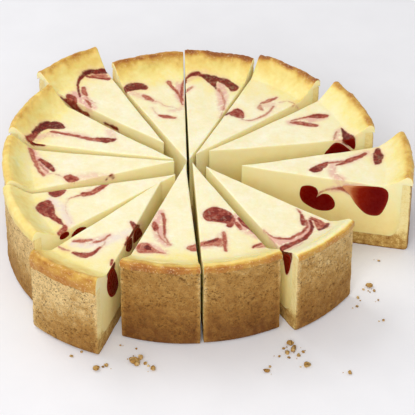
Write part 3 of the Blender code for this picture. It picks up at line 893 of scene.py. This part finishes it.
class Finish:
    """A material made of nodes round one Principled shader."""

    def __init__(self, name):
        self.material = bpy.data.materials.new(name)
        self.material.use_nodes = True
        self.tree = self.material.node_tree
        self.shader = self.tree.nodes["Principled BSDF"].inputs
        self.place = self.node("TexCoord", {})["Object"]

    def link(self, source, socket):
        if isinstance(source, bpy.types.NodeSocket):
            self.tree.links.new(source, socket)
        else:
            socket.default_value = source

    def node(self, kind, inputs, **settings):
        """The outputs of a new node whose inputs are linked or set."""
        item = self.tree.nodes.new("ShaderNode" + kind)
        for name, setting in settings.items():
            setattr(item, name, setting)
        for socket, source in inputs.items():
            self.link(source, item.inputs[socket])
        return item.outputs

    def value(self, attribute):
        return self.node("Attribute", {}, attribute_name=attribute)["Fac"]

    def noise(self, size, detail=3, rough=0.55):
        """Noise whose lumps are about size millimetres across."""
        return self.node("TexNoise", {"Scale": 1000 / size, "Detail": detail, "Roughness": rough,
                                      "Vector": self.place})["Fac"]

    def sum(self, operation, a, b, clamp=False):
        return self.node("Math", {0: a, 1: b}, operation=operation, use_clamp=clamp)["Value"]

    def times(self, a, b):
        return self.sum("MULTIPLY", a, b)

    def varied(self, amount, source, swing):
        """The amount with a noise added: swing is how far it goes to either side."""
        centred = self.sum("SUBTRACT", source, 0.5)
        return self.sum("ADD", amount, self.times(centred, 2 * swing))

    def spread(self, source, low, high, start=0, end=1):
        """The source, eased from start to end as it goes from low to high."""
        return self.node("MapRange", {"Value": source, "From Min": low, "From Max": high, "To Min": start,
                                      "To Max": end}, interpolation_type="SMOOTHSTEP")["Result"]

    def ramp(self, source, colours):
        item = self.tree.nodes.new("ShaderNodeValToRGB")
        stops = item.color_ramp.elements
        while len(stops) < len(colours):
            stops.new(0.5)
        for stop, (place, colour) in zip(stops, colours):
            stop.position = place
            stop.color = linear(colour)
        self.link(source, item.inputs["Fac"])
        return item.outputs["Color"]

    def mix(self, amount, a, b):
        return self.node("Mix", {0: amount, 6: a, 7: b}, data_type="RGBA")[2]

    def bump(self, height, strength, depth):
        outputs = self.node("Bump", {"Strength": strength, "Distance": depth * MM, "Height": height})
        self.link(outputs["Normal"], self.shader["Normal"])

    def finished(self, colour, roughness, specular, soft=0, radius=(0, 0, 0)):
        """The material. Light goes in as far as the radius, in mm for red, green and blue."""
        for name, source in (("Base Color", colour), ("Roughness", roughness),
                             ("Specular IOR Level", specular), ("Subsurface Weight", soft),
                             ("Subsurface Radius", radius), ("Subsurface Scale", MM)):
            self.link(source, self.shader[name])
        return self.material


def filling_material():
    m = Finish("baked_cream")
    fine, broad, grain = m.noise(1.6, 4), m.noise(11, 3), m.noise(3, 5, 0.65)
    # Browning, with the painted crease shadow of drooping rims
    bake = m.varied(m.varied(m.value("bake"), grain, 0.11), broad, 0.12)
    cream = m.ramp(bake, BAKE_COLOURS)
    cut_tone = m.varied(m.value("height"), m.noise(6, 4, 0.6), 0.3)
    specks = m.times(m.spread(m.noise(1.3, 4, 0.65), 0.54, 0.66), m.spread(bake, 0.42, 0.62, 0, 0.45))
    cream = m.mix(specks, cream, linear(SUGAR_COLOUR))
    colour = m.mix(m.value("cut"), cream, m.ramp(cut_tone, CUT_COLOURS))
    veil = m.times(m.value("veil"), m.spread(grain, 0.2, 0.55))
    colour = m.mix(veil, colour, linear(VEIL_COLOUR))
    haze = m.times(m.value("haze"), m.spread(grain, 0.28, 0.52))
    colour = m.mix(m.times(haze, 0.9), colour, linear(HAZE_COLOUR))
    edge = m.varied(m.varied(m.value("sauce"), m.noise(1.5, 5, 0.7), 0.13), m.noise(5, 2), 0.16)
    tone = m.varied(m.value("tone"), m.spread(m.noise(3.4, 4, 0.6), 0.34, 0.66), 0.13)
    amount = m.times(m.spread(edge, 0.18, 0.64), m.spread(m.noise(3, 3), 0.32, 0.52, 0.86, 1))
    colour = m.mix(amount, colour, m.ramp(tone, SAUCE_COLOURS))
    m.bump(m.sum("ADD", fine, grain), 0.28, 0.45)
    return m.finished(colour, m.spread(amount, 0, 1, 0.48, 0.36), 0.28, 0.4, (4.0, 2.2, 0.9))


def sauce_material():
    m = Finish("fruit_puree")
    colour = m.ramp(m.varied(m.value("pale"), m.noise(3, 4, 0.6), 0.08), POCKET_COLOURS)
    m.bump(m.noise(1.8, 4), 0.2, 0.3)
    return m.finished(colour, m.spread(m.noise(2.5, 3), 0.3, 0.7, 0.2, 0.38), 0.06, 0.05, (2.0, 0.3, 0.2))


def crust_material():
    m = Finish("baked_shortcrust")
    coarse, fine, broad = m.noise(3.2, 5, 0.65), m.noise(0.9, 4, 0.7), m.noise(9, 2)
    # The tone carries painted light and shade on the walls as well as the crust's own colour
    tone = m.varied(m.varied(m.value("tone"), coarse, 0.32), fine, 0.6)
    outside = m.ramp(tone, CRUST_COLOURS)
    cut = m.value("cut")
    colour = m.mix(cut, outside, m.ramp(tone, CRUST_CUT_COLOURS))
    patchy = m.spread(broad, 0.38, 0.56)
    large = m.times(m.spread(m.noise(1.5, 3, 0.6), 0.555, 0.615), patchy)
    dots = m.sum("MAXIMUM", large, m.spread(m.noise(0.9, 3, 0.6), 0.555, 0.62, 0, 0.85))
    holes = m.sum("MAXIMUM", m.spread(m.value("pit"), 0.2, 0.8), dots, True)
    holes = m.times(holes, m.sum("SUBTRACT", 1, cut))
    colour = m.mix(m.times(holes, 0.72), colour, linear(PIT_COLOUR))
    m.bump(m.sum("SUBTRACT", m.sum("ADD", coarse, fine), holes), 0.6, 0.9)
    return m.finished(colour, m.spread(broad, 0.3, 0.7, 0.72, 0.9), 0.25, 0.06, (1.6, 0.9, 0.4))


def floor_material():
    m = Finish("cloth")
    shade = m.ramp(m.noise(30, 3, 0.5), ((0.3, FLOOR_COLOUR), (0.7, LIGHTER_FLOOR)))
    m.bump(m.noise(1.2, 3), 0.15, 0.3)
    return m.finished(shade, 0.85, 0.2)


# Setting

def make_floor():
    points = FLOOR_SIZE * np.array([(-1, -1, 0), (1, -1, 0), (1, 1, 0), (-1, 1, 0)])
    floor = new_piece("floor", points, [(0, 1, 2, 3)], floor_material(), {})


def make_camera():
    data = bpy.data.cameras.new("camera")
    data.sensor_width = SENSOR
    data.lens = LENS
    data.clip_end = 10
    camera = bpy.data.objects.new("camera", data)
    bpy.context.scene.collection.objects.link(camera)
    down = math.radians(LOOKING_DOWN)
    turn = Matrix.Rotation(math.pi / 2 - down, 4, "X") @ Matrix.Rotation(CAMERA_ROLL, 4, "Z")
    place = Vector(LOOKED_AT) + Vector((0, -math.cos(down), math.sin(down))) * AWAY
    camera.matrix_world = Matrix.Translation(place) @ turn
    bpy.context.scene.camera = camera


def make_lights():
    world = bpy.data.worlds.new("studio")
    world.use_nodes = True
    background = world.node_tree.nodes["Background"]
    background.inputs["Color"].default_value = AROUND
    background.inputs["Strength"].default_value = AROUND_STRENGTH
    bpy.context.scene.world = world
    for name, place, size, power in LIGHTS:
        data = bpy.data.lights.new(name, "AREA")
        data.size = size
        data.energy = power
        light = bpy.data.objects.new(name, data)
        bpy.context.scene.collection.objects.link(light)
        light.location = place
        light.rotation_euler = (Vector(LIT_POINT) - Vector(place)).to_track_quat("-Z", "Y").to_euler()


def build():
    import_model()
    make_camera()
    make_lights()
    make_floor()
    cream, crust, sauce = filling_material(), crust_material(), sauce_material()
    portions = {row[0]: Portion(row) for row in SLICES}
    for portion in portions.values():
        filling_piece(portion, cream)
        crust_piece(portion, crust)
    for pocket in POCKETS:
        pocket_piece(pocket, portions[pocket[0].split("_")[1]], sauce)
    crumbs_piece(crust)
    bpy.context.scene.view_settings.view_transform = "Standard"


build()
